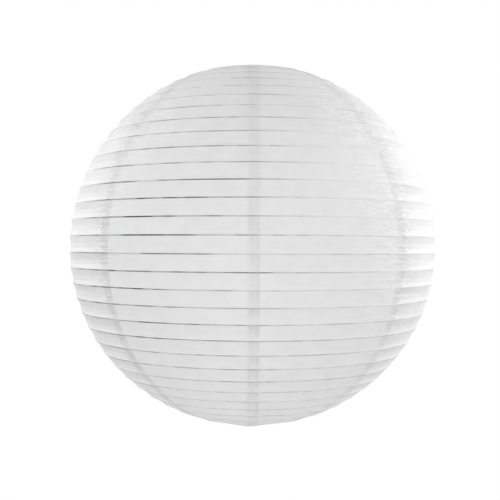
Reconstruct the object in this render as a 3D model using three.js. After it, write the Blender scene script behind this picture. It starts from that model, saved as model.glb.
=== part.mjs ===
// A round accordion paper lantern: eight paper gores glued to level wire hoops, a wire ring round
// each mouth, and a bent wire expander that hangs from its own middle and keeps the shade stretched.
// Millimetres, +Z up. The origin is the point that the lantern hangs from, the highest point inside
// the hump in the middle of the expander's bar. One seam faces -Y, and the expander lies in the XZ plane.

import * as THREE from 'three';

// ---- driving dimensions ----

const RADIUS = 175; // over the paper, between the seams
const UPPER_HEIGHT = 177; // of the whole round shape above its widest level
const LOWER_HEIGHT = 169.5; // and below it, where less of the shade's weight pulls the folds open
const HANG_HEIGHT = 176; // from the widest level up to the hanging point

const RIB_COUNT = 28;
const TOP_RING_LATITUDE = 73.4; // degrees
const FIRST_RIB_LATITUDE = 67.6;
const LAST_RIB_LATITUDE = -64.9;
const BOTTOM_RING_LATITUDE = -71.5;

const GORE_COUNT = 8;
const LAP = 10; // width of a glued seam
const LAP_STEP = 3; // width over which the upper layer comes down beside the lower one's edge
const LAP_CLEAR = 0.5; // from the lower layer's edge to that step
const HEM = 1.5; // how far the paper reaches past the middle of a mouth's ring

const PAPER = 0.3;
const GLUE_GAP = 0.3; // stands for a glue line
const RIB_WIRE = 0.8;
const RING_WIRE = 2.0;
const EXPANDER_WIRE = 2.4;

const HUMP_WIDTH = 12.4; // between the centrelines of the hump's two sides
const HUMP_FLAT = 0.2; // width of the straight stretch at the top of the hump
const BAR_RISE = 3.2; // the bar's middle lies this much higher than its shoulders
const SHOULDER_INNER = 44; // where the bar starts to come down to a shoulder
const SHOULDER_STEP = 3; // length of the slope down to a shoulder
const LEG_OFFSET = 51.5; // from the lantern's axis to a leg
const KINK_DEPTH = 3.5; // how far a foot's kink goes in
const KINK_HALF_HEIGHT = 4.5; // from the kink's deepest point to either end of it
const BEND_RADIUS = 2.5; // of the wire's centreline in an ordinary bend

// ---- how finely the round shapes are divided ----

const HOOP_SEGMENTS = 24;
const HOOP_SIDES = 4;
const RING_SIDES = 6;
const EXPANDER_SIDES = 6;
const BEND_STEPS = 4; // in each bend of the expander's wire

const STEEL = { color: 0xb9bbbe, roughness: 0.35, metalness: 1 };
const SPRING_STEEL = { color: 0xa7a9ac, roughness: 0.3, metalness: 1 };
const WHITE_PAPER = { color: 0xf4f4f2, roughness: 0.85, metalness: 0 };

// ---- the round shape ----

const toRadians = THREE.MathUtils.degToRad;
const LAST_HOOP = RIB_COUNT + 1; // the rings are hoops too: 0 is the top ring, LAST_HOOP the bottom one
const insideRadius = RADIUS - PAPER;

// The radius that an equal-area polygon has when it stands in for a wire's round section.
function sectionRadius(wire, sides) {
  return (wire / 2) * Math.sqrt((2 * Math.PI) / (sides * Math.sin((2 * Math.PI) / sides)));
}

// The ribs are an even pitch apart, and the band between a ring and the rib next to it is a little wider.
function hoopLatitude(hoop) {
  if (hoop === 0) return toRadians(TOP_RING_LATITUDE);
  if (hoop === LAST_HOOP) return toRadians(BOTTOM_RING_LATITUDE);
  const pitch = (FIRST_RIB_LATITUDE - LAST_RIB_LATITUDE) / (RIB_COUNT - 1);
  return toRadians(FIRST_RIB_LATITUDE - pitch * (hoop - 1));
}

// Distance from the axis and height, at a latitude, of a round shape inside the lantern's.
function onShape(latitude, radius) {
  const height = (latitude > 0 ? UPPER_HEIGHT : LOWER_HEIGHT) * (radius / RADIUS);
  return new THREE.Vector2(radius * Math.cos(latitude), height * Math.sin(latitude) - HANG_HEIGHT);
}

// ---- wire hoops and rings ----

function hoopGeometry(middle, wire, sides) {
  const reach = sectionRadius(wire, sides);
  const profile = [];
  for (let i = 0; i <= sides; i += 1) {
    const turn = (2 * Math.PI * (i % sides)) / sides;
    profile.push(new THREE.Vector2(middle.x + reach * Math.cos(turn), middle.y + reach * Math.sin(turn)));
  }
  return new THREE.LatheGeometry(profile, HOOP_SEGMENTS).rotateX(Math.PI / 2);
}

const ribRadius = insideRadius - GLUE_GAP - sectionRadius(RIB_WIRE, HOOP_SIDES);
// The last facet of paper runs on from a rib to just past a ring, where it lies inside the round shape.
const hemAngle = HEM / RADIUS;
const halfFacet = (hoopLatitude(LAST_HOOP - 1) - hoopLatitude(LAST_HOOP) + hemAngle) / 2;
const facetSag = RADIUS * (1 - Math.cos(halfFacet) / Math.cos(halfFacet - hemAngle));
const ringRadius = insideRadius - GLUE_GAP - facetSag - sectionRadius(RING_WIRE, RING_SIDES);
const topRing = onShape(hoopLatitude(0), ringRadius);
const bottomRing = onShape(hoopLatitude(LAST_HOOP), ringRadius);

// ---- paper gores ----

// The stations across a gore at one level: angle from the gore's own seam, and how far the paper is
// lifted there. Its near edge laps over the gore before it, and its far edge lies under the next one.
function goreStations(radius) {
  const pitch = (2 * Math.PI) / GORE_COUNT;
  const facet = (2 * Math.PI) / HOOP_SEGMENTS;
  const angle = (width) => width / radius;
  const lift = PAPER + GLUE_GAP;
  return [
    { turn: angle(-LAP / 2), lift },
    { turn: angle(LAP / 2 + LAP_CLEAR), lift },
    { turn: angle(LAP / 2 + LAP_CLEAR + LAP_STEP), lift: 0 },
    { turn: facet, lift: 0 },
    { turn: 2 * facet, lift: 0 },
    { turn: pitch - angle(LAP / 2), lift: 0 },
    { turn: pitch + angle(LAP / 2), lift: 0 },
  ];
}

function goreLatitude(row) {
  if (row === 0) return hoopLatitude(0) + hemAngle;
  if (row === LAST_HOOP) return hoopLatitude(LAST_HOOP) - hemAngle;
  return hoopLatitude(row);
}

// A thin closed shell: an outer and an inner grid of the same points, joined round their edges.
function goreGeometry(seamAngle) {
  const positions = [];
  const indices = [];
  let columns = 0;
  for (const layer of [PAPER, 0]) {
    for (let row = 0; row <= LAST_HOOP; row += 1) {
      const latitude = goreLatitude(row);
      const stations = goreStations(RADIUS * Math.cos(latitude));
      columns = stations.length;
      for (const station of stations) {
        const point = onShape(latitude, insideRadius + layer + station.lift);
        const turn = seamAngle + station.turn;
        positions.push(point.x * Math.sin(turn), -point.x * Math.cos(turn), point.y);
      }
    }
  }
  const rows = LAST_HOOP + 1;
  const outer = (row, column) => row * columns + column;
  const inner = (row, column) => (rows + row) * columns + column;
  const quad = (a, b, c, d) => indices.push(a, b, c, a, c, d);
  for (let row = 0; row < rows - 1; row += 1) {
    for (let column = 0; column < columns - 1; column += 1) {
      quad(outer(row, column), outer(row + 1, column), outer(row + 1, column + 1), outer(row, column + 1));
      quad(inner(row, column), inner(row, column + 1), inner(row + 1, column + 1), inner(row + 1, column));
    }
    quad(outer(row, 0), inner(row, 0), inner(row + 1, 0), outer(row + 1, 0));
    const end = columns - 1;
    quad(outer(row, end), outer(row + 1, end), inner(row + 1, end), inner(row, end));
  }
  for (let column = 0; column < columns - 1; column += 1) {
    const foot = rows - 1;
    quad(outer(0, column), outer(0, column + 1), inner(0, column + 1), inner(0, column));
    quad(outer(foot, column), inner(foot, column), inner(foot, column + 1), outer(foot, column + 1));
  }
  const geometry = new THREE.BufferGeometry();
  geometry.setAttribute('position', new THREE.Float32BufferAttribute(positions, 3));
  geometry.setIndex(indices);
  geometry.computeVertexNormals();
  return geometry;
}

// ---- the expander's bent wire ----

// A wire's centreline through stations, so that long straight runs take no more points than bends.
class BentLine extends THREE.Curve {
  constructor(stations) {
    super();
    this.stations = stations;
  }

  getPoint(t, target = new THREE.Vector3()) {
    return target.copy(this.stations[Math.round(t * (this.stations.length - 1))]);
  }

  getPointAt(u, target) {
    return this.getPoint(u, target);
  }

  getTangentAt(u, target = new THREE.Vector3()) {
    const last = this.stations.length - 1;
    const at = Math.round(u * last);
    const direction = (from, to) => this.stations[to].clone().sub(this.stations[from]).normalize();
    target.set(0, 0, 0);
    if (at > 0) target.add(direction(at - 1, at));
    if (at < last) target.add(direction(at, at + 1));
    return target.normalize();
  }
}

// The stations round one bend: the arc of that radius between the runs that meet at a corner.
function bendStations(before, corner, after, radius) {
  const incoming = corner.clone().sub(before).normalize();
  const outgoing = after.clone().sub(corner).normalize();
  const turn = incoming.angleTo(outgoing);
  const setback = radius * Math.tan(turn / 2);
  const start = corner.clone().addScaledVector(incoming, -setback);
  const towardsCentre = outgoing.clone().addScaledVector(incoming, -incoming.dot(outgoing)).normalize();
  const centre = start.clone().addScaledVector(towardsCentre, radius);
  const stations = [];
  for (let step = 0; step <= BEND_STEPS; step += 1) {
    const angle = (turn * step) / BEND_STEPS;
    stations.push(
      centre.clone()
        .addScaledVector(towardsCentre, -radius * Math.cos(angle))
        .addScaledVector(incoming, radius * Math.sin(angle)),
    );
  }
  return stations;
}

// Corners of the wire's right half, from the top of the hump to the tip of the foot: x, z, bend radius.
function expanderCorners() {
  const reach = sectionRadius(EXPANDER_WIRE, EXPANDER_SIDES);
  const shoulder = topRing.y - sectionRadius(RING_WIRE, RING_SIDES) - GLUE_GAP - reach;
  const bar = shoulder + BAR_RISE;
  const side = HUMP_WIDTH / 2;
  return [
    [side, reach, side - HUMP_FLAT / 2],
    [side, bar, BEND_RADIUS],
    [SHOULDER_INNER, bar, BEND_RADIUS],
    [SHOULDER_INNER + SHOULDER_STEP, shoulder, BEND_RADIUS],
    [LEG_OFFSET, shoulder, BEND_RADIUS],
    [LEG_OFFSET, bottomRing.y + KINK_HALF_HEIGHT, BEND_RADIUS],
    [LEG_OFFSET - KINK_DEPTH, bottomRing.y, BEND_RADIUS],
    [LEG_OFFSET, bottomRing.y - KINK_HALF_HEIGHT, 0],
  ];
}

function expanderGeometry() {
  const right = expanderCorners().map(([x, z, radius]) => ({ point: new THREE.Vector3(x, 0, z), radius }));
  const left = right.map(({ point, radius }) => ({ point: new THREE.Vector3(-point.x, 0, point.z), radius }));
  const corners = [...left.reverse(), ...right];
  const stations = [corners[0].point];
  for (let i = 1; i < corners.length - 1; i += 1) {
    const { point, radius } = corners[i];
    stations.push(...bendStations(corners[i - 1].point, point, corners[i + 1].point, radius));
  }
  stations.push(corners[corners.length - 1].point);

  const section = new THREE.Shape();
  const reach = sectionRadius(EXPANDER_WIRE, EXPANDER_SIDES);
  for (let i = 0; i < EXPANDER_SIDES; i += 1) {
    const turn = (2 * Math.PI * i) / EXPANDER_SIDES;
    const place = [reach * Math.cos(turn), reach * Math.sin(turn)];
    if (i === 0) section.moveTo(...place);
    else section.lineTo(...place);
  }
  const line = new BentLine(stations);
  return new THREE.ExtrudeGeometry(section, { steps: stations.length - 1, extrudePath: line });
}

// ---- the assembly ----

function piece(name, geometry, look) {
  const mesh = new THREE.Mesh(geometry, new THREE.MeshStandardMaterial(look));
  mesh.name = name;
  return mesh;
}

const lantern = new THREE.Group();
lantern.add(piece('expander', expanderGeometry(), SPRING_STEEL));
lantern.add(piece('top_ring', hoopGeometry(topRing, RING_WIRE, RING_SIDES), STEEL));
lantern.add(piece('bottom_ring', hoopGeometry(bottomRing, RING_WIRE, RING_SIDES), STEEL));

for (let rib = 1; rib <= RIB_COUNT; rib += 1) {
  const middle = onShape(hoopLatitude(rib), ribRadius);
  const name = `rib_hoop_${String(rib).padStart(2, '0')}`;
  lantern.add(piece(name, hoopGeometry(middle, RIB_WIRE, HOOP_SIDES), STEEL));
}

for (let gore = 0; gore < GORE_COUNT; gore += 1) {
  const seamAngle = (2 * Math.PI * gore) / GORE_COUNT;
  lantern.add(piece(`paper_gore_${gore + 1}`, goreGeometry(seamAngle), WHITE_PAPER));
}

export default lantern;
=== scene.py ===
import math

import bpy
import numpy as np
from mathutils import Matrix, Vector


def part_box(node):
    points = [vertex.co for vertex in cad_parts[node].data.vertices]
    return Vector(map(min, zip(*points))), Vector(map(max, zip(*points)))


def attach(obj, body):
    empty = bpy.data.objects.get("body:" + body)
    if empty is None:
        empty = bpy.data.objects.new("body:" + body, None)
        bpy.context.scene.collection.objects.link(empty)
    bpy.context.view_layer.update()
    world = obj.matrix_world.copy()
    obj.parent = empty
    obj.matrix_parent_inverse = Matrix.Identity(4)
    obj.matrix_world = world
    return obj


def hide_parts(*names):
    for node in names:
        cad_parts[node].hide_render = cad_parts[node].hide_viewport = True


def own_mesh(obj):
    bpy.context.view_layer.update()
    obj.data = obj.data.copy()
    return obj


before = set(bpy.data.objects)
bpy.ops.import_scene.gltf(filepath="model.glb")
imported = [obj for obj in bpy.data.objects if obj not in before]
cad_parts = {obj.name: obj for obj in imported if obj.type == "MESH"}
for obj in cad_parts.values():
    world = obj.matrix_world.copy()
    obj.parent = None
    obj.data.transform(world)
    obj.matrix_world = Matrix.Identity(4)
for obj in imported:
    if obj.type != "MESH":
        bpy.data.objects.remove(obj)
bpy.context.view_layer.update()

# A round accordion paper lantern. The paper gores, the hems round the mouths and every wire replace
# the CAD model's plain solids, at the places that the frame gives. Lengths are in metres. Azimuths run
# from the front round by the right, and levels count the hoops downwards from the top ring.

# ---- the real pieces ----

GORE_COUNT = 8
RIB_WIRE = 0.0008
RING_WIRE = 0.002
EXPANDER_WIRE = 0.0024
PAPER = 0.0001
GLUE_GAP = 0.0003  # between a wire and what is glued to it or rests on it, as in CAD
LAP = 0.010  # width of a glued seam
LAP_LIFT = 0.00022  # how far the upper layer of a seam stands above the lower one
LAP_RUN_OUT = 0.003  # width over which it comes down beside the lower layer's edge

RIB_NAMES = sorted(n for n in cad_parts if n.startswith("rib_hoop_"))
HOOP_NAMES = ["top_ring", *RIB_NAMES, "bottom_ring"]
BANDS = len(HOOP_NAMES) - 1


# ---- small helpers ----

def smoothstep(low, high, x):
    t = np.clip((x - low) / (high - low), 0, 1)
    return t * t * (3 - 2 * t)


def bell(x, width):
    """One at zero, and fading out on both sides over about that width."""
    return np.exp(-((x / width) ** 2))


def turn_from(azimuth, middle):
    """The angle from middle to an azimuth, at most half a turn either way."""
    return np.angle(np.exp(1j * (azimuth - middle)))


def ring_place(azimuth, radius, height):
    """Points at those azimuths, radii and heights."""
    return np.stack([radius * np.sin(azimuth), -radius * np.cos(azimuth), height], axis=-1)


def value_noise(x, y, seed, period=None):
    """Smooth noise from -1 to 1 with one bump to a unit. It repeats in x after a whole period."""
    size = 512
    table = np.random.default_rng(seed).uniform(-1, 1, (size, size))
    left, low = np.floor(x).astype(int), np.floor(y).astype(int)
    across, up = x - left, y - low
    across, up = across * across * (3 - 2 * across), up * up * (3 - 2 * up)
    wrap = period or size

    def corner(i, j):
        return table[(left + i) % wrap % size, (low + j) % size]

    below = corner(0, 0) * (1 - across) + corner(1, 0) * across
    above = corner(0, 1) * (1 - across) + corner(1, 1) * across
    return below * (1 - up) + above * up


def noise_round(azimuth, count, row, seed):
    """Noise round the lantern, with that many bumps to a turn."""
    return value_noise(azimuth / (2 * math.pi) * count, row, seed, count)


def own_row(number, spacing):
    """A row of the noise for each band or hoop, so far from the next one's that the two look unrelated."""
    return number * spacing + 0.5


def grid_mesh(name, points, uv_maps=(), values=(), wraps=False):
    """A smooth sheet through rows and columns of points. With wraps, the last column meets the first."""
    rows, columns = points.shape[:2]
    index = np.arange(rows * columns).reshape(rows, columns)
    right = np.roll(index, -1, axis=1) if wraps else index[:, 1:]
    left = index if wraps else index[:, :-1]
    quads = np.stack([left[:-1], left[1:], right[1:], right[:-1]], axis=-1).reshape(-1, 4)
    mesh = bpy.data.meshes.new(name)
    mesh.from_pydata(points.reshape(-1, 3).tolist(), [], quads.tolist())
    corners = np.zeros(len(mesh.loops), np.int32)
    mesh.loops.foreach_get("vertex_index", corners)
    for label, uv in uv_maps:
        layer = mesh.uv_layers.new(name=label)
        layer.uv.foreach_set("vector", uv.reshape(-1, 2)[corners].astype(np.float32).ravel())
    for label, value in values:
        attribute = mesh.attributes.new(label, "FLOAT", "POINT")
        attribute.data.foreach_set("value", value.astype(np.float32).ravel())
    mesh.shade_smooth()
    mesh.update()
    piece = bpy.data.objects.new(name, mesh)
    bpy.context.scene.collection.objects.link(piece)
    return piece


def tube_mesh(name, centres, first_axis, second_axis, radii, sides, closed):
    """A round wire: a ring of points about each centre, in the plane of that centre's two unit vectors."""
    turn = np.linspace(0, 2 * math.pi, sides, endpoint=False)[None, :, None]
    ring = np.cos(turn) * first_axis[:, None, :] + np.sin(turn) * second_axis[:, None, :]
    points = centres[:, None, :] + radii[:, None, None] * ring
    if closed:
        points = np.concatenate([points, points[:1]])
    piece = grid_mesh(name, points, wraps=True)
    if closed:
        # The last ring of points lies on the first, so the last faces are joined to the first ring.
        mesh = piece.data
        kept = len(centres) * sides
        faces = [[v % kept for v in p.vertices] for p in mesh.polygons]
        places = [v.co[:] for v in mesh.vertices[:kept]]
        mesh.clear_geometry()
        mesh.from_pydata(places, [], faces)
        mesh.shade_smooth()
    return piece


# ---- where the hoops and the paper are ----

RIB_SIDES = 4  # flat sides of the wires' sections in CAD
RING_SIDES = 6


def hoop_circle(node):
    """Radius and height of the middle of a hoop's wire."""
    low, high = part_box(node)
    sides = RIB_SIDES if node in RIB_NAMES else RING_SIDES
    reach = (high[2] - low[2]) / 2 / math.sin(2 * math.pi / sides)
    return (high[0] - low[0]) / 2 - reach, (high[2] + low[2]) / 2


circles = np.array([hoop_circle(n) for n in HOOP_NAMES])
wires = np.array([RIB_WIRE if n in RIB_NAMES else RING_WIRE for n in HOOP_NAMES])
slopes = np.gradient(circles, axis=0)
slopes /= np.linalg.norm(slopes, axis=1)[:, None]
# The contour runs downwards, so its outward normal is its direction turned a quarter turn.
normals = np.stack([-slopes[:, 1], slopes[:, 0]], axis=1)
glue = np.where(wires == RIB_WIRE, GLUE_GAP, 0)
contour = circles + normals * (wires / 2 + glue + PAPER)[:, None]
band_lengths = np.linalg.norm(np.diff(contour, axis=0), axis=1)
run_lengths = np.concatenate([[0], np.cumsum(band_lengths)])
EQUATOR = contour[:, 0].max()
FULL_TURN = 2 * math.pi * EQUATOR  # the way round the widest level
MIDDLE = (contour[:, 1].max() + contour[:, 1].min()) / 2


def band_place(level):
    """The band between two hoops that a level is in, and its share of the way down that band."""
    band = np.minimum(level.astype(int), BANDS - 1)
    return band, level - band


def contour_at(level):
    """Radius, height and outward normal of the taut paper at a level."""
    band, share = band_place(level)
    share = share[..., None]
    place = contour[band] * (1 - share) + contour[band + 1] * share
    normal = normals[band] * (1 - share) + normals[band + 1] * share
    return place, normal / np.linalg.norm(normal, axis=-1, keepdims=True)


def height_share(level):
    """How far a level is above the lantern's middle, as a share of its radius."""
    return (contour_at(level)[0][..., 1] - MIDDLE) / EQUATOR


def wrinkles(azimuth, width, row, seed):
    """Noise round the lantern, with bumps of about that width and a whole number of them to a turn."""
    return noise_round(azimuth, round(FULL_TURN / width), row, seed)


def with_patches(base, patches, azimuth, height):
    """A base value and what oval patches add to it, each most in its middle and fading out all round."""
    total = base + 0 * azimuth
    for middle, place, half_width, half_height, more in patches:
        across = turn_from(azimuth, math.radians(middle)) / math.radians(half_width)
        total = total + more * np.exp(-(across ** 2) - ((height - place) / half_height) ** 2)
    return total


# ---- seams and slackness ----

PITCH = 2 * math.pi / GORE_COUNT

# How slack each gore's paper is, from the one to the right of the front seam and on round.
GORE_SLACK = (0.22, 0.95, 0.65, 0.85, 0.6, 0.75, 1.0, 0.25)
# How far each seam has strayed round the widest level, from the front one and on round by the right.
SEAM_SHIFT = (0.0012, 0.0040, -0.0020, 0.0015, -0.0010, 0.0022, -0.0018, -0.0014)


def nearest_seam(azimuth):
    return np.round(azimuth / PITCH).astype(int)


def seam_azimuth(seam):
    return seam * PITCH + np.array(SEAM_SHIFT)[seam % GORE_COUNT] / EQUATOR


def seam_distance(azimuth, radius):
    """How far along the level a point is from the nearest seam, positive to its right."""
    return (azimuth - seam_azimuth(nearest_seam(azimuth))) * radius


def gore_slack(azimuth, radius):
    """The slackness of the gore that a point is in, running smoothly over from one gore to the next."""
    seam = nearest_seam(azimuth)
    values = np.array(GORE_SLACK)
    before, after = values[(seam - 1) % GORE_COUNT], values[seam % GORE_COUNT]
    share = smoothstep(-LAP, LAP, seam_distance(azimuth, radius))
    return before * (1 - share) + after * share


# ---- the paper's relief ----

RIDGE = 0.00034  # how far the glued paper drops away beside a rib
RIDGE_WIDTH = 0.0006
FOLD = 0.0006  # depth of the folds between two ribs, where the paper is slack
FOLD_DRIFT = 0.06  # how far they stray up or down, as a share of the band
FOLD_SWELL = 0.35  # how much their depth changes slowly along the band, as a share of it
FOLD_RIPPLE = 0.2  # and how much it changes quickly
TAUTER = 0.7  # how much less slack the paper is high up and low down
TAUTER_HEIGHTS = (0.3, 0.8)  # where that starts and where it is full, as shares of the radius
DENT = 0.00016
PLEAT = 0.00026
PLEATS = 4.6  # to a band
SEAM_REACH = 0.010  # how far from a seam its glue has wrinkled the paper
SEAM_STREAK = 0.00020  # depth of the wrinkles along a seam
SEAM_STREAK_WIDTH = 0.0034
SEAM_STREAKS = 0.8  # to a band
SEAM_KINK = 0.00060  # depth of the ones across it
SEAM_KINK_WIDTH = 0.0050
SEAM_KINKS = 2.6  # to a band
SEAM_TAUT = 0.2  # share of both depths beside a taut gore
SEAM_SLACK = 1.1  # what slackness adds to that share
PULL = 0.00014  # depth of the slanting wrinkles in patches where the paper is pulled
PULL_WIDTH = 0.0052
PULL_LENGTH = 0.030
PULL_PATCH = 0.05  # width of the patches
PULL_EDGE = (0.1, 0.6)  # of the noise that places them, where a patch starts and where it is full
PULL_SLANT = (0.75, 0.66)  # about a unit vector, pointing across them
CRUSH_COARSE = 0.00050
CRUSH_COARSE_HEIGHT = 0.0036
CRUSH_FINE = 0.00022
CRUSH_FINE_HEIGHT = 0.0024

# The folds from one rib down to the next: share of the band, share of FOLD.
FOLD_LINE = (
    (0, 0), (0.10, -0.12), (0.20, -0.27), (0.40, -1.0),
    (0.53, -0.60), (0.66, -0.82), (0.80, -0.27), (0.90, -0.12), (1, 0),
)

# Where the paper has been crushed in the hand: three patches at the right, two at the left, two behind.
# Azimuth, height as a share of the radius, half width in degrees, half height, strength.
CRUSHED = (
    (40, 0.68, 20, 0.20, 1.0),
    (47, 0.30, 13, 0.26, 0.9),
    (-44, 0.60, 11, 0.22, 0.8),
    (-47, 0.10, 5, 0.35, 0.7),
    (42, -0.20, 11, 0.32, 0.5),
    (150, 0.30, 16, 0.35, 0.8),
    (-120, -0.20, 14, 0.30, 0.7),
)

MOUTH_BULGE = 0.0016  # how far the thick end of the front lap stands off the bottom ring
MOUTH_BULGE_AZIMUTH = -0.06
MOUTH_BULGE_WIDTH = 0.24
MOUTH_BULGE_RISE = 1.6  # bands above the ring


def crushed_share(azimuth, height):
    return np.clip(with_patches(0, CRUSHED, azimuth, height), 0, 1)


def band_drift(azimuth, band):
    """How far the folds and creases of a band stray up or down, as a share of the band."""
    return FOLD_DRIFT * wrinkles(azimuth, width=0.055, row=own_row(band, 3.13), seed=10)


def paper_relief(azimuth, level, radius):
    """How far the paper stands outside its taut line between the ribs: folds, dents and wrinkles."""
    band, share = band_place(level)
    length = band_lengths[band]
    run = run_lengths[band] + share * length
    free = np.sin(math.pi * np.clip(share, 0, 1)) ** 2
    height = height_share(level)
    slack = gore_slack(azimuth, radius) * (1 - TAUTER * smoothstep(*TAUTER_HEIGHTS, np.abs(height)))

    ridge = -RIDGE * (1 - bell(np.minimum(share, 1 - share) * length, RIDGE_WIDTH))

    uneven = 1 + FOLD_SWELL * wrinkles(azimuth, width=0.040, row=own_row(band, 7.31), seed=11)
    uneven += FOLD_RIPPLE * wrinkles(azimuth, width=0.012, row=own_row(band, 5.17), seed=12)
    line = np.interp(share + free * band_drift(azimuth, band), *np.transpose(FOLD_LINE))
    fold = FOLD * slack * uneven * line

    dents = DENT * free * wrinkles(azimuth, width=0.028, row=level, seed=13)
    pleats = PLEAT * slack * free * wrinkles(azimuth, width=0.038, row=level * PLEATS, seed=14)

    # The offsets give each seam a part of the noise to itself.
    seam = seam_distance(azimuth, radius)
    number = nearest_seam(azimuth)
    streaks = value_noise(seam / SEAM_STREAK_WIDTH + 100, level * SEAM_STREAKS + number * 37.7, seed=15)
    kinks = value_noise(seam / SEAM_KINK_WIDTH + 50, level * SEAM_KINKS + number * 23.1, seed=16)
    wrinkled = (SEAM_STREAK * streaks + SEAM_KINK * kinks) * (SEAM_TAUT + SEAM_SLACK * slack)
    crumple = free * bell(seam, SEAM_REACH) * wrinkled

    arc = azimuth * EQUATOR
    across, down = PULL_SLANT
    lean = (arc * across + run * down) / PULL_WIDTH
    stretch = (-arc * down + run * across) / PULL_LENGTH
    patches = smoothstep(*PULL_EDGE, value_noise(arc / PULL_PATCH, run / PULL_PATCH, seed=18))
    pulls = PULL * free * patches * value_noise(lean, stretch, seed=17) * slack

    coarse = wrinkles(azimuth, width=0.014, row=run / CRUSH_COARSE_HEIGHT, seed=19)
    fine = wrinkles(azimuth, width=0.008, row=run / CRUSH_FINE_HEIGHT, seed=20)
    crushed = crushed_share(azimuth, height) * free * (CRUSH_COARSE * coarse + CRUSH_FINE * fine)

    return ridge + fold + dents + pleats + crumple + pulls + crushed


def mouth_bulge(azimuth, level):
    around = bell(turn_from(azimuth, MOUTH_BULGE_AZIMUTH), MOUTH_BULGE_WIDTH)
    return MOUTH_BULGE * around * smoothstep(BANDS - MOUTH_BULGE_RISE, BANDS, level)


# ---- what the paper's colour needs to know at each point ----

# Painted shade along the paper's creases, and painted light between them, below zero.
# Share of the band, greyness of the painted shade.
CREASE_SHADE_LINE = (
    (0, 0.9), (0.2, 0.6), (0.34, 0.45), (0.42, 0.95), (0.50, -0.3),
    (0.62, -0.2), (0.67, 0.35), (0.73, -0.5), (0.90, -0.8), (1, -0.2),
)
CREASE_EVEN = 0.75  # share of the painted shade that every place has
CREASE_PATCHY = 0.45  # and how much that share changes from place to place
CRUMPLED_SEAM = 0.011  # how far from a slack gore's seam its paper is finely crumpled
CRUMPLED_SLACKNESS = (0.3, 0.7)  # where that starts and where it is full
CRUMPLED_STRENGTH = 0.8

RIB_WIRE_AND_SHADE = 0.27  # how strongly the wires and their painted shade show where no patch changes it
RIB_FAINTEST = 0.03
RIB_DASHES = 110  # to a turn
RIB_DASH_EDGE = (-0.35, 0.55)  # of the noise that places them, where a dash starts and where it is full
RIB_CHANGES = 23  # slow changes to a turn
# Patches where the rib lines' painted shade is stronger or fainter, as the light falls: strongest at the
# front left, faint high on the right.
# Azimuth, height as a share of the radius, half width in degrees, half height, and how much clearer.
RIB_SHADE_PATCHES = (
    (-32, 0.08, 28, 0.42, 0.50),
    (-70, 0.15, 12, 0.35, -0.26),
    (-50, -0.30, 26, 0.30, 0.35),
    (-85, 0.35, 22, 0.45, -0.34),
    (0, 0.00, 16, 1.20, 0.09),
    (-10, -0.68, 26, 0.30, 0.14),
    (-3, 0.80, 20, 0.28, 0.14),
    (46, -0.22, 18, 0.26, -0.14),
    (28, 0.42, 24, 0.34, -0.24),
    (75, 0.30, 26, 0.45, -0.34),
    (170, 0.0, 60, 0.60, 0.22),
)

# How dark each seam's two layers and glue look, with painted shade, high up and low down, from the front and
# on by the right.
SEAM_DARKNESS = (
    (0.20, 0.50), (0.03, 0.28), (0.4, 0.6), (0.5, 0.5),
    (0.4, 0.6), (0.5, 0.6), (0.4, 0.5), (0.05, 0.60),
)
SEAM_HEIGHTS = (-0.15, 0.40)  # where low down ends and where high up starts, as shares of the radius
SEAM_SOFT_EDGE = (0.0013, 0.0003)  # inside the lap's edge, where it starts to fade and where it ends
SEAM_EDGE_LINE = 0.0014  # inside the lap's edge, the middle of the painted shadow line along it
SEAM_EDGE_WIDTH = 0.0008


# Painted shade and painted light in each band, following its folds, most in slack gores.
def crease_shade(azimuth, level, radius):
    band, share = band_place(level)
    free = np.sin(math.pi * np.clip(share, 0, 1)) ** 0.8
    patchy = CREASE_EVEN + CREASE_PATCHY * wrinkles(azimuth, width=0.045, row=level * 1.7, seed=25)
    line = np.interp(share + free * band_drift(azimuth, band), *np.transpose(CREASE_SHADE_LINE))
    return gore_slack(azimuth, radius) * patchy * line


def crush_shade(azimuth, level, radius):
    """How finely crumpled the paper is: in the crushed patches and beside the seams of slack gores."""
    beside_seam = bell(seam_distance(azimuth, radius), CRUMPLED_SEAM)
    slack = smoothstep(*CRUMPLED_SLACKNESS, gore_slack(azimuth, radius))
    crushed = crushed_share(azimuth, height_share(level))
    return np.clip(crushed + beside_seam * slack * CRUMPLED_STRENGTH, 0, 1)


def rib_show(azimuth, level):
    """How strongly the wire and its glue show through the paper, with painted shade under the rib: unevenly,
    and most at the front left.
    """
    strength = with_patches(RIB_WIRE_AND_SHADE, RIB_SHADE_PATCHES, azimuth, height_share(level))
    hoop = np.round(level)
    slow = noise_round(azimuth, RIB_CHANGES, row=own_row(hoop, 3.77), seed=21)
    dashes = noise_round(azimuth, RIB_DASHES, row=own_row(hoop, 5.39), seed=22)
    uneven = 0.75 + 0.40 * slow + 0.55 * smoothstep(*RIB_DASH_EDGE, dashes)
    return np.clip(strength * uneven, RIB_FAINTEST, 1)


def seam_shade(azimuth, level, radius):
    """How dark the glued lap is, its glue and two layers with painted shade: unevenly, most along its edges,
    where a painted shadow line runs, and just below each rib.
    """
    high_up, low_down = np.array(SEAM_DARKNESS)[nearest_seam(azimuth) % GORE_COUNT].T
    darkness = low_down.T + (high_up.T - low_down.T) * smoothstep(*SEAM_HEIGHTS, height_share(level))
    from_middle = np.abs(seam_distance(azimuth, radius))
    starts, ends = SEAM_SOFT_EDGE
    inside = 1 - smoothstep(LAP / 2 - starts, LAP / 2 - ends, from_middle)
    edge_shadows = bell(from_middle - LAP / 2 + SEAM_EDGE_LINE, SEAM_EDGE_WIDTH)
    below_rib = level - np.floor(level)
    blots = wrinkles(azimuth, width=0.004, row=level * 2.2, seed=23)
    uneven = 1 + 0.45 * blots + 1.2 * (0.45 - below_rib)
    return np.clip(inside * darkness * uneven * (0.8 + 0.5 * edge_shadows), 0, 1)


# ---- shader helpers ----

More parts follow.
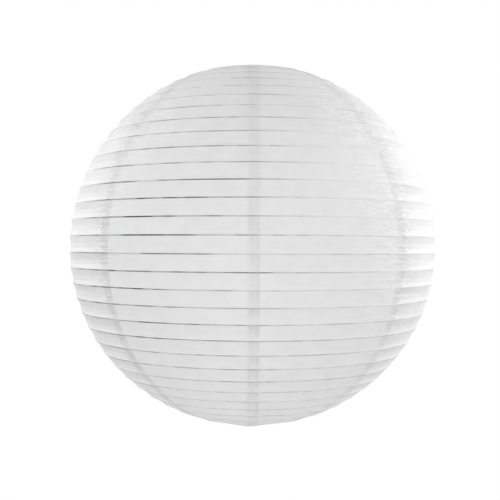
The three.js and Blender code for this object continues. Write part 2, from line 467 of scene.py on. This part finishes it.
def new_material(name):
    material = bpy.data.materials.new(name)
    material.use_nodes = True
    nodes = material.node_tree.nodes
    nodes.clear()
    return material, nodes, material.node_tree.links.new


def feed(link, value, socket):
    """Sets a socket to a number or a colour, or links another node's output to it."""
    if isinstance(value, tuple):
        socket.default_value = (*value, 1)
    elif isinstance(value, (int, float)):
        socket.default_value = value
    else:
        link(value, socket)


def math_node(nodes, link, operation, *inputs):
    node = nodes.new("ShaderNodeMath")
    node.operation = operation
    for socket, value in zip(node.inputs, inputs):
        feed(link, value, socket)
    return node.outputs[0]


def ramp_node(nodes, link, value, low, high, to_low, to_high):
    """A smooth change from to_low to to_high while value goes from low to high."""
    node = nodes.new("ShaderNodeMapRange")
    node.interpolation_type = "SMOOTHSTEP"
    link(value, node.inputs["Value"])
    node.inputs["From Min"].default_value = low
    node.inputs["From Max"].default_value = high
    node.inputs["To Min"].default_value = to_low
    node.inputs["To Max"].default_value = to_high
    return node.outputs["Result"]


def noise_node(nodes, link, vector, scale, detail, roughness=0.55):
    node = nodes.new("ShaderNodeTexNoise")
    link(vector, node.inputs["Vector"])
    node.inputs["Scale"].default_value = scale
    node.inputs["Detail"].default_value = detail
    node.inputs["Roughness"].default_value = roughness
    return node.outputs["Fac"]


def stretched(nodes, link, vector, scale):
    node = nodes.new("ShaderNodeMapping")
    link(vector, node.inputs["Vector"])
    node.inputs["Scale"].default_value = scale
    return node.outputs["Vector"]


def uv_node(nodes, name):
    node = nodes.new("ShaderNodeUVMap")
    node.uv_map = name
    return node.outputs["UV"]


def attribute_node(nodes, name):
    node = nodes.new("ShaderNodeAttribute")
    node.attribute_name = name
    return node.outputs["Fac"]


def mix_colours(nodes, link, share, first, second):
    node = nodes.new("ShaderNodeMix")
    node.data_type = "RGBA"
    link(share, node.inputs["Factor"])
    feed(link, first, node.inputs[6])
    feed(link, second, node.inputs[7])
    return node.outputs[2]


def mix_shaders(nodes, link, share, first, second):
    node = nodes.new("ShaderNodeMixShader")
    feed(link, share, node.inputs["Fac"])
    link(first, node.inputs[1])
    link(second, node.inputs[2])
    return node.outputs["Shader"]


def bump_node(nodes, link, height, strength, distance, normal=None):
    node = nodes.new("ShaderNodeBump")
    node.inputs["Distance"].default_value = distance
    feed(link, strength, node.inputs["Strength"])
    link(height, node.inputs["Height"])
    if normal is not None:
        link(normal, node.inputs["Normal"])
    return node.outputs["Normal"]


def output_node(nodes, link, surface, kind="ShaderNodeOutputMaterial"):
    link(surface, nodes.new(kind).inputs["Surface"])


# ---- materials ----

PAPER_WHITE = (0.86, 0.86, 0.86)
PAPER_SHADE = (0.83, 0.83, 0.83)
# White of the painted highlights beside the ribs and of the painted light between creases.
PAINTED_LIGHT_WHITE = (0.95, 0.95, 0.95)
# Grey of the rib lines: the wire seen through the paper, with painted shade.
WIRE_AND_SHADE_GREY = (0.05, 0.05, 0.05)
# Grey for painted shade in the creases, and for the glued laps: their glue and painted shade.
SHADE_AND_GLUE_GREY = (0.55, 0.55, 0.55)

RIB_LINE = (0.021, 0.052)  # where a rib's line fades out, as shares of a band from its middle
RIB_HIGHLIGHT = (0.05, 0.11)  # and where the painted highlight on the paper's crest beside it does
HIGHLIGHT_STRENGTH = 0.6  # the most that the painted highlight takes on of its white
CREASE_SHADE_STRENGTH = 0.34  # the most that the painted shade in a crease takes on of its grey
FACET_SHADE_STRENGTH = 0.22  # the same for the painted shade in the sharp creases of crushed paper
LAP_GREY = 0.5  # and for a glued lap, its glue and painted shade
FACET_DEPTH = 0.0036
GRAIN_DEPTH = 0.00006
LIGHT_THROUGH = 0.32  # share of the light that goes through one layer of paper
LAP_LIGHT_THROUGH = 0.25
HEM_LIGHT_THROUGH = 0.2

RIB_STEEL = (0.42, 0.43, 0.44)
RING_STEEL = (0.58, 0.59, 0.60)
SPRING_STEEL = (0.52, 0.53, 0.54)
DULLED = 0.72  # brightness of the spots on a wire, as a share of its colour
DULLED_ROUGHER = 0.22
WIRE_GRAIN_DEPTH = 0.00004

made_materials = {}


def paper_surface(nodes, link, sheet):
    """Colour and relief that every sheet of this paper has: cloudy pulp, fine fibres and small creases."""
    clouds = noise_node(nodes, link, sheet, scale=60, detail=5)
    cloudy = ramp_node(nodes, link, clouds, 0.3, 0.7, 0.0, 1.0)
    colour = mix_colours(nodes, link, cloudy, PAPER_WHITE, PAPER_SHADE)
    upright = stretched(nodes, link, sheet, (1.0, 0.35, 1.0))
    fibres = noise_node(nodes, link, upright, scale=2600, detail=3, roughness=0.7)
    flecks = ramp_node(nodes, link, fibres, 0.62, 0.8, 0.0, 0.35)
    colour = mix_colours(nodes, link, flecks, colour, PAPER_SHADE)
    level = stretched(nodes, link, sheet, (0.12, 1.0, 1.0))
    creases = noise_node(nodes, link, level, scale=420, detail=4)
    height = math_node(nodes, link, "ADD", creases, fibres)
    return colour, bump_node(nodes, link, height, strength=0.25, distance=GRAIN_DEPTH)


def thin_paper(nodes, link, colour, normal, light_through):
    """A matt sheet that reflects part of the light and lets part of it through, scattered."""
    front = nodes.new("ShaderNodeBsdfPrincipled")
    front.inputs["Roughness"].default_value = 0.62
    front.inputs["Specular IOR Level"].default_value = 0.25
    front.inputs["Sheen Weight"].default_value = 0.08
    behind = nodes.new("ShaderNodeBsdfTranslucent")
    link(colour, front.inputs["Base Color"])
    link(colour, behind.inputs["Color"])
    link(normal, front.inputs["Normal"])
    link(normal, behind.inputs["Normal"])
    both = mix_shaders(nodes, link, light_through, front.outputs["BSDF"], behind.outputs["BSDF"])
    output_node(nodes, link, both)


def with_rib_lines(nodes, link, colour):
    """Each rib shows as a thin grey line where the sheet is glued down to its wire, partly the wire showing
    through and partly painted shade, on a painted highlight along the paper's crest.
    """
    split = nodes.new("ShaderNodeSeparateXYZ")
    link(uv_node(nodes, "bands"), split.inputs["Vector"])
    level = math_node(nodes, link, "MULTIPLY", split.outputs["Y"], float(BANDS))
    centred = math_node(nodes, link, "FRACT", math_node(nodes, link, "ADD", level, 0.5))
    from_rib = math_node(nodes, link, "ABSOLUTE", math_node(nodes, link, "SUBTRACT", centred, 0.5))
    # A painted highlight on the paper's crest over the wire.
    highlight = ramp_node(nodes, link, from_rib, *RIB_HIGHLIGHT, 1.0, 0.0)
    highlight = math_node(nodes, link, "MULTIPLY", highlight, HIGHLIGHT_STRENGTH)
    colour = mix_colours(nodes, link, highlight, colour, PAINTED_LIGHT_WHITE)
    # The rib's grey line: the wire and glue showing through, and painted shade under the rib.
    line = ramp_node(nodes, link, from_rib, *RIB_LINE, 1.0, 0.0)
    line = math_node(nodes, link, "MULTIPLY", line, attribute_node(nodes, "rib_show"))
    return mix_colours(nodes, link, line, colour, WIRE_AND_SHADE_GREY)


def with_creases(nodes, link, colour):
    """Painted shade along the creases of slack paper, and painted light between them."""
    crease = attribute_node(nodes, "crease")
    grey = ramp_node(nodes, link, crease, 0.0, 1.0, 0.0, CREASE_SHADE_STRENGTH)
    colour = mix_colours(nodes, link, grey, colour, SHADE_AND_GLUE_GREY)
    painted_light = ramp_node(nodes, link, crease, -0.8, 0.0, 1.0, 0.0)
    return mix_colours(nodes, link, painted_light, colour, PAINTED_LIGHT_WHITE)


def with_facets(nodes, link, sheet, colour, normal):
    """Crushed paper has many small sharp creases, with painted shade along them."""
    level = stretched(nodes, link, sheet, (0.22, 1.0, 1.0))
    facets = noise_node(nodes, link, level, scale=210, detail=1, roughness=0.5)
    ridged = math_node(nodes, link, "ABSOLUTE", math_node(nodes, link, "SUBTRACT", facets, 0.5))
    crushed = attribute_node(nodes, "crush")
    normal = bump_node(nodes, link, ridged, crushed, FACET_DEPTH, normal)
    facet_shade = ramp_node(nodes, link, ridged, 0.0, 0.05, 1.0, 0.0)
    facet_shade = math_node(nodes, link, "MULTIPLY", facet_shade, crushed)
    facet_shade = math_node(nodes, link, "MULTIPLY", facet_shade, FACET_SHADE_STRENGTH)
    return mix_colours(nodes, link, facet_shade, colour, SHADE_AND_GLUE_GREY), normal


def paper_material():
    if "paper" in made_materials:
        return made_materials["paper"]
    material, nodes, link = new_material("white_paper")
    sheet = uv_node(nodes, "sheet")
    colour, normal = paper_surface(nodes, link, sheet)
    colour = with_rib_lines(nodes, link, colour)
    colour = with_creases(nodes, link, colour)
    colour, normal = with_facets(nodes, link, sheet, colour, normal)
    # The glued lap: darker for its glue and two layers, with painted shade, and it lets less light through.
    doubled = attribute_node(nodes, "doubled")
    grey = math_node(nodes, link, "MULTIPLY", doubled, LAP_GREY)
    colour = mix_colours(nodes, link, grey, colour, SHADE_AND_GLUE_GREY)
    through = ramp_node(nodes, link, doubled, 0.0, 0.6, LIGHT_THROUGH, LAP_LIGHT_THROUGH)
    thin_paper(nodes, link, colour, normal, through)
    made_materials["paper"] = material
    return material


def hem_material():
    if "hem" in made_materials:
        return made_materials["hem"]
    material, nodes, link = new_material("folded_paper")
    colour, normal = paper_surface(nodes, link, uv_node(nodes, "sheet"))
    thin_paper(nodes, link, colour, normal, HEM_LIGHT_THROUGH)
    made_materials["hem"] = material
    return material


def wire_material(name, colour, roughness):
    """Drawn steel wire with a fine grain and a dulled, spotted zinc surface."""
    material, nodes, link = new_material(name)
    place = nodes.new("ShaderNodeTexCoord").outputs["Object"]
    spots = noise_node(nodes, link, place, scale=900, detail=4, roughness=0.65)
    spotted = ramp_node(nodes, link, spots, 0.4, 0.68, 0.0, 1.0)
    dull = tuple(DULLED * c for c in colour)
    rough = ramp_node(nodes, link, spots, 0.35, 0.7, roughness, roughness + DULLED_ROUGHER)
    grain = noise_node(nodes, link, place, scale=2200, detail=3, roughness=0.6)
    bumps = bump_node(nodes, link, grain, strength=0.3, distance=WIRE_GRAIN_DEPTH)
    metal = nodes.new("ShaderNodeBsdfPrincipled")
    metal.inputs["Metallic"].default_value = 1.0
    link(mix_colours(nodes, link, spotted, colour, dull), metal.inputs["Base Color"])
    link(rough, metal.inputs["Roughness"])
    link(bumps, metal.inputs["Normal"])
    output_node(nodes, link, metal.outputs["BSDF"])
    return material


# ---- paper gores ----

# Rows of points in each band, as shares of it: close together at the ribs.
BAND_STEPS = (0, 0.022, 0.05, 0.1, 0.17, 0.25, 0.33, 0.41, 0.5, 0.59, 0.67, 0.75, 0.83, 0.9, 0.95, 0.978)
BODY_COLUMNS = 50
BODY_CROWDING = 0.09  # how much closer together the body's columns are beside the seams
LAP_COLUMNS = 6
EDGE_STRAY = 0.0004  # how unevenly the gores' edges are cut


def gore_levels():
    steps = [band + step for band in range(BANDS) for step in BAND_STEPS]
    return np.array([*steps, BANDS], float)


def gore_columns(radius, near_seam, far_seam, stray):
    """Azimuths across a gore at one level: its lap over the last gore, its body, its edge under the next."""
    step = (LAP / 2 + LAP_RUN_OUT) / radius
    edge = (LAP / 2 + stray) / radius
    near = np.linspace(near_seam - edge, near_seam + step, LAP_COLUMNS, endpoint=False)
    share = np.linspace(0, 1, BODY_COLUMNS)
    share = share - BODY_CROWDING * np.sin(2 * math.pi * share)
    middle = near_seam + step + share * (far_seam - near_seam - 2 * step)
    far = np.linspace(far_seam - step, far_seam + edge, LAP_COLUMNS + 1)[1:]
    return np.concatenate([near, middle, far])


def make_gore(number):
    levels = gore_levels()
    place, normal = contour_at(levels)
    strays = EDGE_STRAY * value_noise(levels * 0.9, np.full(len(levels), number * 3.3), seed=31)
    near_seam, far_seam = seam_azimuth(number), seam_azimuth(number + 1)
    rows = zip(place[:, 0], strays)
    azimuth = np.array([gore_columns(radius, near_seam, far_seam, stray) for radius, stray in rows])
    radius = np.broadcast_to(place[:, :1], azimuth.shape)
    level = np.broadcast_to(levels[:, None], azimuth.shape)
    from_near = (azimuth - near_seam) * radius
    lift = LAP_LIFT * (1 - smoothstep(LAP / 2, LAP / 2 + LAP_RUN_OUT, from_near))
    out = paper_relief(azimuth, level, radius) + lift + mouth_bulge(azimuth, level)
    outward, upward = normal[:, None, 0], normal[:, None, 1]
    points = ring_place(azimuth, radius + out * outward, place[:, None, 1] + out * upward)

    run = np.interp(levels, np.arange(BANDS + 1), run_lengths)
    middle = (near_seam + far_seam) / 2
    across = (azimuth - middle) * radius
    sheet_uv = np.stack([across, np.broadcast_to(-run[:, None], radius.shape)], axis=-1)
    band_uv = np.stack([azimuth / (2 * math.pi), 1 - level / BANDS], axis=-1)
    piece = grid_mesh(
        f"gore_{number + 1}",
        points,
        uv_maps=[("sheet", sheet_uv), ("bands", band_uv)],
        values=[
            ("rib_show", rib_show(azimuth, level)),
            ("doubled", seam_shade(azimuth, level, radius)),
            ("crease", crease_shade(azimuth, level, radius)),
            ("crush", crush_shade(azimuth, level, radius)),
        ],
    )
    piece.data.materials.append(paper_material())
    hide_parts(f"paper_gore_{number + 1}")
    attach(piece, "shade_top")
    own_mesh(piece)


# ---- hems round the mouths ----

HEM_COLUMNS = 320
HEM_ROWS = 26  # round the ring
HEM_OVERLAP = 20  # degrees that the hem starts before the place where the gores meet the ring
HEM_LAST = 285  # where it leaves the ring, in degrees from straight outwards
FLAP_ROWS = 7
FLAP_FIRST = 0.0032  # from the middle of the ring's wire to where the flap lies flat
FLAP_LAST = 0.008
FLAP_INSET = 0.00025  # how far the flap lies inside the tangent to the ring
FLAP_RAGGED = 0.0012  # how unevenly its edge is cut
FLAP_SAG = 0.00012
FLAP_CREASE = 0.00008
HEM_CREASE = 0.02  # depth of the creases round the ring, as a share of the hem's section
HEM_CREASES = 120  # to a turn
HEM_FLAP_SHARE = 0.75  # share of the section's rows where the flap starts
FLAP_CUTS = 46  # to a turn


def hem_section(hoop, up):
    """The hem's section, outwards and away from the lantern's middle, and the flap's direction in it."""
    wrap = RING_WIRE / 2 + PAPER / 2
    lean = math.atan2(up * normals[hoop, 1], normals[hoop, 0])
    turns = np.radians(np.linspace(math.degrees(lean) - HEM_OVERLAP, HEM_LAST, HEM_ROWS))
    section = np.stack([wrap * np.cos(turns), wrap * np.sin(turns)], axis=1)
    along = np.array([math.sin(lean), -math.cos(lean)])
    inner = np.array([math.cos(lean), math.sin(lean)]) * (wrap - FLAP_INSET)
    flap = [inner + along * d for d in np.linspace(FLAP_FIRST, FLAP_LAST, FLAP_ROWS)]
    return np.concatenate([section, (section[-1:] + flap[0]) / 2, flap]), along


def make_hem(name, hoop, up, body):
    """The gores' ends, folded round a mouth's ring from outside and glued down inside the shade."""
    radius, height = circles[hoop]
    section, along = hem_section(hoop, up)
    azimuth = np.linspace(0, 2 * math.pi, HEM_COLUMNS, endpoint=False)
    row = np.linspace(0, 1, len(section))[:, None]
    crease = noise_round(azimuth[None, :], HEM_CREASES, row=row * 5 + hoop, seed=41)
    ragged = FLAP_RAGGED * noise_round(azimuth[None, :], FLAP_CUTS, row=row * 0 + hoop, seed=42)
    flap = smoothstep(HEM_FLAP_SHARE, 1, row)
    across = section[:, None, 0] + flap * ragged * along[0]
    rise = section[:, None, 1] + flap * (ragged * along[1] - FLAP_SAG - FLAP_CREASE * crease)
    snug = 1 + HEM_CREASE * crease * (1 - flap)
    bulge = (1 - flap) * mouth_bulge(azimuth, np.full(HEM_COLUMNS, float(hoop)))[None, :]
    points = ring_place(azimuth, radius + across * snug, height + up * (rise * snug + bulge))
    steps = np.linalg.norm(np.diff(section, axis=0), axis=1)
    run = np.concatenate([[0], np.cumsum(steps)])
    sheet_uv = np.stack(np.broadcast_arrays(azimuth[None, :] * radius, run[:, None]), axis=-1)
    piece = grid_mesh(name, points, uv_maps=[("sheet", sheet_uv)], wraps=True)
    piece.data.materials.append(hem_material())
    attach(piece, body)


# ---- hoops ----

WELD_SWELLING = 0.22  # of the wire's radius
WELD_LENGTH = 0.9  # of the wire's diameter


def make_hoop(name, node, body, wire, weld_azimuth, material, slot, segments, sides):
    """A wire hoop whose two ends are butt welded, which leaves a small swelling at the joint."""
    radius, height = hoop_circle(node)
    azimuth = np.linspace(0, 2 * math.pi, segments, endpoint=False)
    from_weld = turn_from(azimuth, weld_azimuth) * radius
    radii = wire / 2 * (1 + WELD_SWELLING * bell(from_weld, WELD_LENGTH * wire))
    outward = ring_place(azimuth, 1, 0 * azimuth)
    upward = np.broadcast_to([0.0, 0.0, 1.0], outward.shape)
    centres = outward * radius + upward * height
    piece = tube_mesh(name, centres, outward, upward, radii, sides, closed=True)
    piece.data.materials.append(material)
    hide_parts(node)
    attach(piece, body)


# ---- expander ----

HUMP_WIDTH = 0.0124
HUMP_FLAT = 0.0001  # half the straight stretch that is left on top of the hump
BEND_RADIUS = 0.0025
BEND_POINTS = 14
BAR_RISE = 0.0032
SHOULDER_INNER = 0.044
SHOULDER_STEP = 0.003
SHOULDER_CLEARANCE = 0.00015  # below the top ring, besides the gap
KINK_DEPTH = 0.0035
KINK_HALF_HEIGHT = 0.0045
POINT_SPACING = 0.004  # on straight runs
EXPANDER_SIDES = 18
END_LENGTH = 0.00025  # of the rounded edge at each end, along the wire
END_INSET = 0.0002  # of that edge, across the wire
END_HOLE = 0.00002  # radius left open in the middle of the end


def round_bend(before, corner, after, radius):
    """Points round the arc of that radius between the two straight runs that meet at a corner."""
    incoming = (corner - before) / np.linalg.norm(corner - before)
    outgoing = (after - corner) / np.linalg.norm(after - corner)
    turn = math.acos(np.clip(incoming @ outgoing, -1, 1))
    start = corner - incoming * radius * math.tan(turn / 2)
    inward = outgoing - incoming * (incoming @ outgoing)
    inward /= np.linalg.norm(inward)
    angles = np.linspace(0, turn, BEND_POINTS)[:, None]
    return start + inward * radius * (1 - np.cos(angles)) + incoming * radius * np.sin(angles)


def expander_line():
    """The middle of the expander's wire in the XZ plane, from the left foot over the hump to the right."""
    low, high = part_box("expander")
    drawn = (high[1] - low[1]) / 2  # CAD's six-sided section, which has the round wire's area
    reach = max(drawn, EXPANDER_WIRE / 2)
    foot = hoop_circle("bottom_ring")[1]
    leg = high[0] - drawn
    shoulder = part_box("top_ring")[0][2] - GLUE_GAP - reach - SHOULDER_CLEARANCE
    bar = shoulder + BAR_RISE
    side = HUMP_WIDTH / 2
    # Place and bend radius of each corner, from the hump to the right foot.
    corners = [
        (side, high[2] - reach, side - HUMP_FLAT),
        (side, bar, BEND_RADIUS),
        (SHOULDER_INNER, bar, BEND_RADIUS),
        (SHOULDER_INNER + SHOULDER_STEP, shoulder, BEND_RADIUS),
        (leg, shoulder, BEND_RADIUS),
        (leg, foot + KINK_HALF_HEIGHT, BEND_RADIUS),
        (leg - KINK_DEPTH, foot, BEND_RADIUS),
        (leg, foot - KINK_HALF_HEIGHT, 0),
    ]
    corners = [(-x, z, radius) for x, z, radius in reversed(corners)] + corners
    places = [np.array([x, z]) for x, z, _ in corners]
    line = [places[0][None, :]]
    for i in range(1, len(corners) - 1):
        line.append(round_bend(places[i - 1], places[i], places[i + 1], corners[i][2]))
    line.append(places[-1][None, :])
    return with_more_points(np.concatenate(line))


def with_more_points(line):
    """The same line with points on its long straight runs too, so that the surface's pattern stays even."""
    dense = [line[:1]]
    for start, end in zip(line[:-1], line[1:]):
        count = max(1, round(float(np.linalg.norm(end - start)) / POINT_SPACING))
        share = np.linspace(0, 1, count + 1)[1:, None]
        dense.append(start * (1 - share) + end * share)
    return np.concatenate(dense)


def make_expander():
    line = expander_line()
    along = np.gradient(line, axis=0)
    along /= np.linalg.norm(along, axis=1)[:, None]
    # Each end is cut off square with a small rounded edge.
    first = [line[0], line[0], line[0] + along[0] * END_LENGTH]
    last = [line[-1] - along[-1] * END_LENGTH, line[-1], line[-1]]
    line = np.concatenate([first, line[1:-1], last])
    along = np.concatenate([[along[0]] * 3, along[1:-1], [along[-1]] * 3])
    radii = np.full(len(line), EXPANDER_WIRE / 2)
    radii[0] = radii[-1] = END_HOLE
    radii[1] = radii[-2] = EXPANDER_WIRE / 2 - END_INSET
    centres = np.stack([line[:, 0], 0 * line[:, 0], line[:, 1]], axis=1)
    across = np.stack([along[:, 1], 0 * line[:, 0], -along[:, 0]], axis=1)
    along_y = np.broadcast_to([0.0, 1.0, 0.0], centres.shape)
    piece = tube_mesh("expander_wire", centres, across, along_y, radii, EXPANDER_SIDES, closed=False)
    piece.data.materials.append(wire_material("spring_wire", SPRING_STEEL, roughness=0.3))
    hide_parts("expander")
    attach(piece, "expander")


# ---- the lantern ----

WELDS_SPREAD = 0.5  # the ribs' welds are all behind, spread over this angle
TOP_WELD = 2.2
BOTTOM_WELD = 4.0
RIB_POINTS = (288, 8)  # along a hoop and round its wire
RING_POINTS = (192, 14)

for number in range(GORE_COUNT):
    make_gore(number)
make_hem("hem_top", 0, 1, "shade_top")
make_hem("hem_bottom", BANDS, -1, "bottom_rim")

rib_look = wire_material("rib_wire", RIB_STEEL, roughness=0.38)
for rib, node in enumerate(RIB_NAMES, start=1):
    weld = math.pi + (rib * 2.4 % 1.0 - 0.5) * WELDS_SPREAD
    name, body = f"rib_{rib:02d}_wire", f"rib_{rib:02d}"
    make_hoop(name, node, body, RIB_WIRE, weld, rib_look, "rib_wire", *RIB_POINTS)
ring_look = wire_material("ring_wire", RING_STEEL, roughness=0.32)
for place, body, weld in (("top", "shade_top", TOP_WELD), ("bottom", "bottom_rim", BOTTOM_WELD)):
    name, node = f"{place}_ring_wire", f"{place}_ring"
    make_hoop(name, node, body, RING_WIRE, weld, ring_look, "ring_wire", *RING_POINTS)
make_expander()


# ---- floor, lights and camera ----

FLOOR_DROP = 1.1
FLOOR_RADIUS = 2.8
FLOOR_HOLE = FLOOR_RADIUS / 10000  # too small to show
FLOOR_RINGS = 12
FLOOR_SEGMENTS = 96
FLOOR_GREY = (0.82, 0.82, 0.82, 1)
FLOOR_FADES = (0.5 * FLOOR_RADIUS, 0.97 * FLOOR_RADIUS)  # where it starts to turn white, and where it is

WHITE_STRENGTH = 1.0  # of what shows as white: the surroundings and the floor's rim
WORLD_LIGHT = 0.38  # strength of the surroundings as a light

CAMERA_DISTANCE = 5 * EQUATOR
CAMERA_RISE = 0.003 * EQUATOR
CAMERA_LENS = 64.5
CAMERA_SENSOR = 36
LOOK_DOWN = 0.40  # degrees, like the next two
LOOK_LEFT = 0.15
ROLL = -0.22


def make_floor():
    """A pale round floor well below the lantern. It runs out into the white surroundings at its rim."""
    radii = np.linspace(FLOOR_HOLE, FLOOR_RADIUS, FLOOR_RINGS)[:, None]
    azimuth = np.linspace(0, 2 * math.pi, FLOOR_SEGMENTS, endpoint=False)[None, :]
    height = np.full((FLOOR_RINGS, FLOOR_SEGMENTS), MIDDLE - FLOOR_DROP)
    points = ring_place(azimuth, radii, height)
    floor = grid_mesh("floor", points[::-1], wraps=True)
    material, nodes, link = new_material("pale_floor")
    place = nodes.new("ShaderNodeTexCoord").outputs["Object"]
    length = nodes.new("ShaderNodeVectorMath")
    length.operation = "LENGTH"
    link(stretched(nodes, link, place, (1.0, 1.0, 0.0)), length.inputs[0])
    rim = ramp_node(nodes, link, length.outputs["Value"], *FLOOR_FADES, 0.0, 1.0)
    matt = nodes.new("ShaderNodeBsdfDiffuse")
    matt.inputs["Color"].default_value = FLOOR_GREY
    glow = nodes.new("ShaderNodeEmission")
    glow.inputs["Strength"].default_value = WHITE_STRENGTH
    both = mix_shaders(nodes, link, rim, matt.outputs["BSDF"], glow.outputs["Emission"])
    output_node(nodes, link, both)
    floor.data.materials.append(material)


def make_lamp(name, azimuth, elevation, distance, size, power):
    """A square soft box that faces the lantern, at an azimuth and elevation in degrees."""
    a, e = math.radians(azimuth), math.radians(elevation)
    away = np.array([math.sin(a) * math.cos(e), -math.cos(a) * math.cos(e), math.sin(e)])
    data = bpy.data.lights.new(name, "AREA")
    data.shape = "SQUARE"
    data.size = size
    data.energy = power
    lamp = bpy.data.objects.new(name, data)
    lamp.location = away * distance + np.array([0, 0, MIDDLE])
    lamp.rotation_euler = (math.pi / 2 - e, 0, a)
    lamp.visible_camera = False
    bpy.context.scene.collection.objects.link(lamp)


def make_world():
    """White to the eye, and a softer, even light on the lantern."""
    world = bpy.data.worlds.new("studio")
    world.use_nodes = True
    nodes, link = world.node_tree.nodes, world.node_tree.links.new
    nodes.clear()
    lit = nodes.new("ShaderNodeBackground")
    lit.inputs["Strength"].default_value = WORLD_LIGHT
    seen = nodes.new("ShaderNodeBackground")
    seen.inputs["Color"].default_value = (1, 1, 1, 1)
    seen.inputs["Strength"].default_value = WHITE_STRENGTH
    seen_directly = nodes.new("ShaderNodeLightPath").outputs["Is Camera Ray"]
    both = mix_shaders(nodes, link, seen_directly, lit.outputs["Background"], seen.outputs["Background"])
    output_node(nodes, link, both, "ShaderNodeOutputWorld")
    bpy.context.scene.world = world


def make_camera():
    data = bpy.data.cameras.new("camera")
    data.lens = CAMERA_LENS
    data.sensor_width = CAMERA_SENSOR
    data.clip_start, data.clip_end = 0.05, 50
    camera = bpy.data.objects.new("camera", data)
    camera.location = (0, -CAMERA_DISTANCE, MIDDLE + CAMERA_RISE)
    camera.rotation_euler = (math.radians(90 - LOOK_DOWN), math.radians(ROLL), math.radians(LOOK_LEFT))
    bpy.context.scene.collection.objects.link(camera)
    bpy.context.scene.camera = camera


make_floor()
make_lamp("front_high", azimuth=0, elevation=40, distance=2.0, size=1.3, power=16.4)
make_lamp("front_low", azimuth=-5, elevation=-15, distance=2.0, size=1.3, power=14.3)
make_lamp("rear_right", azimuth=112, elevation=17, distance=1.6, size=1.4, power=31.5)
make_lamp("rear_left", azimuth=-115, elevation=22, distance=1.6, size=1.4, power=23.0)
make_world()
make_camera()
bpy.context.scene.view_settings.view_transform = "Standard"

bpy.context.view_layer.update()
